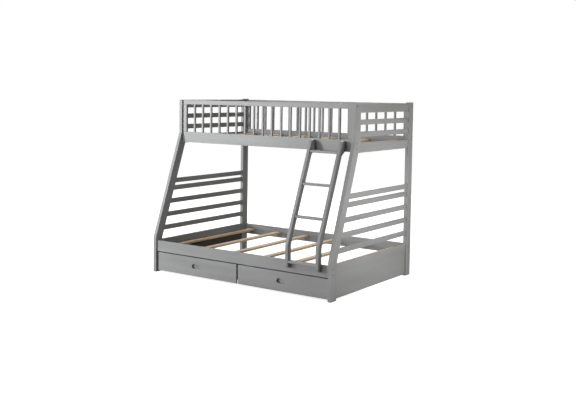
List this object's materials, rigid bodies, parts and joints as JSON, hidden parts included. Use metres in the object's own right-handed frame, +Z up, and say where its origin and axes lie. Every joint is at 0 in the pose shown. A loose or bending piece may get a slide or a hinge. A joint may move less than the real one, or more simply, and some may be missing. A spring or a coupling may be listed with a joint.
{
  "type": "bunk bed with ladder and drawers",
  "caption": "Wooden bunk bed, wide below and narrow above on bent front legs, with slatted ends, railed guards, a leaning ladder and roll-out drawers under the lower bunk.",
  "frame": {"origin": "on the floor, under the middle of the whole footprint, ladder included", "axes": "+X along the bed's length, +Z up; the ladder and the drawers face -Y"},
  "size_m": [2.007, 1.455, 1.651],
  "materials": {
    "paint_along_x": "satin grey paint, grain along the length",
    "paint_along_y": "satin grey paint, grain along the depth",
    "paint_upright": "satin grey paint, grain upright",
    "paint_drawer": "satin grey paint",
    "pine_slat": "bare planed pine",
    "paint_panel": "satin grey paint outside, bare brown board inside",
    "hardboard": "bare brown hardboard",
    "steel": "zinc plated",
    "roller_plastic": "moulded"
  },
  "bodies": {
    "bed": {"barrel_nuts": "steel", "front_guard_spindles": "paint_upright", "front_guard_stiles": "paint_upright", "front_guard_top": "paint_along_x", "ladder_bolts": "steel", "ladder_left_stringer": "paint_upright", "ladder_right_stringer": "paint_upright", "ladder_rungs": "paint_along_x", "ledger_screws": "steel", "left_base_board": "paint_along_y", "left_base_panel": "paint_panel", "left_cap_board": "paint_along_y", "left_front_leg": "paint_upright", "left_lower_end_slats": "paint_along_y", "left_rear_post": "paint_upright", "left_upper_end_rail": "paint_along_y", "left_upper_end_slats": "paint_along_y", "lower_bed_slats": "pine_slat", "lower_front_ledger": "paint_along_x", "lower_front_rail": "paint_along_x", "lower_rear_ledger": "paint_along_x", "lower_rear_rail": "paint_along_x", "rail_bolts": "steel", "rear_guard_spindles": "paint_upright", "rear_guard_stiles": "paint_upright", "rear_guard_top": "paint_along_x", "right_base_board": "paint_along_y", "right_base_panel": "paint_panel", "right_cap_board": "paint_along_y", "right_front_leg": "paint_upright", "right_lower_end_slats": "paint_along_y", "right_rear_post": "paint_upright", "right_upper_end_rail": "paint_along_y", "right_upper_end_slats": "paint_along_y", "slat_screws": "steel", "upper_bed_slats": "pine_slat", "upper_front_ledger": "paint_along_x", "upper_front_rail": "paint_along_x", "upper_rear_ledger": "paint_along_x", "upper_rear_rail": "paint_along_x"},
    "left_front_rollers": {"left_drawer_front_rollers": "roller_plastic"},
    "left_rear_rollers": {"left_drawer_rear_rollers": "roller_plastic"},
    "left_drawer": {"left_drawer_back": "paint_drawer", "left_drawer_bottom": "hardboard", "left_drawer_box_front": "paint_drawer", "left_drawer_front": "paint_drawer", "left_drawer_left_side": "paint_drawer", "left_drawer_right_side": "paint_drawer", "left_drawer_roller_brackets": "steel", "left_drawer_roller_pins": "steel"},
    "right_front_rollers": {"right_drawer_front_rollers": "roller_plastic"},
    "right_rear_rollers": {"right_drawer_rear_rollers": "roller_plastic"},
    "right_drawer": {"right_drawer_back": "paint_drawer", "right_drawer_bottom": "hardboard", "right_drawer_box_front": "paint_drawer", "right_drawer_front": "paint_drawer", "right_drawer_left_side": "paint_drawer", "right_drawer_right_side": "paint_drawer", "right_drawer_roller_brackets": "steel", "right_drawer_roller_pins": "steel"}
  },
  "joints": [
    {"name": "left_drawer_slide", "type": "slide", "parent": "bed", "child": "left_drawer", "axis": [0, -1, 0], "range_m": [0, 0.6]},
    {"name": "left_front_rollers_turn", "type": "hinge", "parent": "left_drawer", "child": "left_front_rollers", "pos_m": [-0.48425, -0.5865, 0.018], "axis": [1, 0, 0], "continuous": true},
    {"name": "left_rear_rollers_turn", "type": "hinge", "parent": "left_drawer", "child": "left_rear_rollers", "pos_m": [-0.48425, -0.1465, 0.018], "axis": [1, 0, 0], "continuous": true},
    {"name": "right_drawer_slide", "type": "slide", "parent": "bed", "child": "right_drawer", "axis": [0, -1, 0], "range_m": [0, 0.6]},
    {"name": "right_front_rollers_turn", "type": "hinge", "parent": "right_drawer", "child": "right_front_rollers", "pos_m": [0.48425, -0.5865, 0.018], "axis": [1, 0, 0], "continuous": true},
    {"name": "right_rear_rollers_turn", "type": "hinge", "parent": "right_drawer", "child": "right_rear_rollers", "pos_m": [0.48425, -0.1465, 0.018], "axis": [1, 0, 0], "continuous": true}
  ],
  "couplings": [
    {"joint": "left_front_rollers_turn", "follows": "left_drawer_slide", "rad_per_m": 55.556},
    {"joint": "left_rear_rollers_turn", "follows": "left_drawer_slide", "rad_per_m": 55.556},
    {"joint": "right_front_rollers_turn", "follows": "right_drawer_slide", "rad_per_m": 55.556},
    {"joint": "right_rear_rollers_turn", "follows": "right_drawer_slide", "rad_per_m": 55.556}
  ]
}
